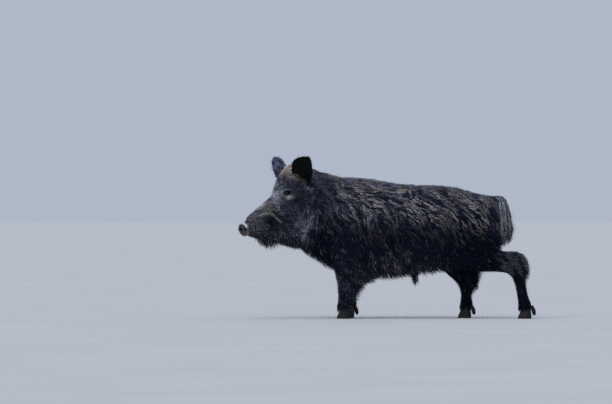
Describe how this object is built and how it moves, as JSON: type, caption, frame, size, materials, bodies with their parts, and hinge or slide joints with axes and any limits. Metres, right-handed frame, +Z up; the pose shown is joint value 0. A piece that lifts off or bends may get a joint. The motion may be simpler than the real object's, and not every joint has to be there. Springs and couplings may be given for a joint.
{
  "type": "wild boar",
  "caption": "Adult male wild boar in its winter coat, a still life-size model standing with the left hind leg stretched back and the head turned to its left.",
  "frame": {"origin": "on the floor, under the centre of the bounding box", "axes": "+Z up; -X the way the animal stands facing; -Y its left side"},
  "size_m": [1.7776, 0.5502, 0.9783],
  "materials": {
    "coat": "dense dark winter coat of bristles and underwool, tan tips on back and flanks",
    "face_hair": "short grizzled hair, pale on the nose bridge and round the eyes",
    "ear_hair": "short black hair, greyish inside",
    "tail_hair": "long silver-grey tassel",
    "snout_skin": "bare grey-brown skin, slightly moist",
    "hoof_horn": "dark horn, worn smooth",
    "eye": "dark brown, wet"
  },
  "bodies": {
    "root": {"eye_left": "eye", "eye_right": "eye", "trunk": "coat", "neck": "coat", "head": "face_hair", "lower_jaw": "face_hair", "hoof_fore_left_inner": "hoof_horn", "dewclaw_fore_left_inner": "hoof_horn", "hoof_fore_left_outer": "hoof_horn", "dewclaw_fore_left_outer": "hoof_horn", "upper_arm_left": "coat", "forearm_left": "coat", "forecannon_left": "coat", "hoof_fore_right_inner": "hoof_horn", "dewclaw_fore_right_inner": "hoof_horn", "hoof_fore_right_outer": "hoof_horn", "dewclaw_fore_right_outer": "hoof_horn", "upper_arm_right": "coat", "forearm_right": "coat", "forecannon_right": "coat", "hoof_hind_left_inner": "hoof_horn", "dewclaw_hind_left_inner": "hoof_horn", "hoof_hind_left_outer": "hoof_horn", "dewclaw_hind_left_outer": "hoof_horn", "thigh_left": "coat", "gaskin_left": "coat", "hindcannon_left": "coat", "hoof_hind_right_inner": "hoof_horn", "dewclaw_hind_right_inner": "hoof_horn", "hoof_hind_right_outer": "hoof_horn", "dewclaw_hind_right_outer": "hoof_horn", "thigh_right": "coat", "gaskin_right": "coat", "hindcannon_right": "coat", "ear_left": "ear_hair", "ear_right": "ear_hair", "snout_disc": "snout_skin", "tail": "tail_hair"}
  },
  "joints": []
}
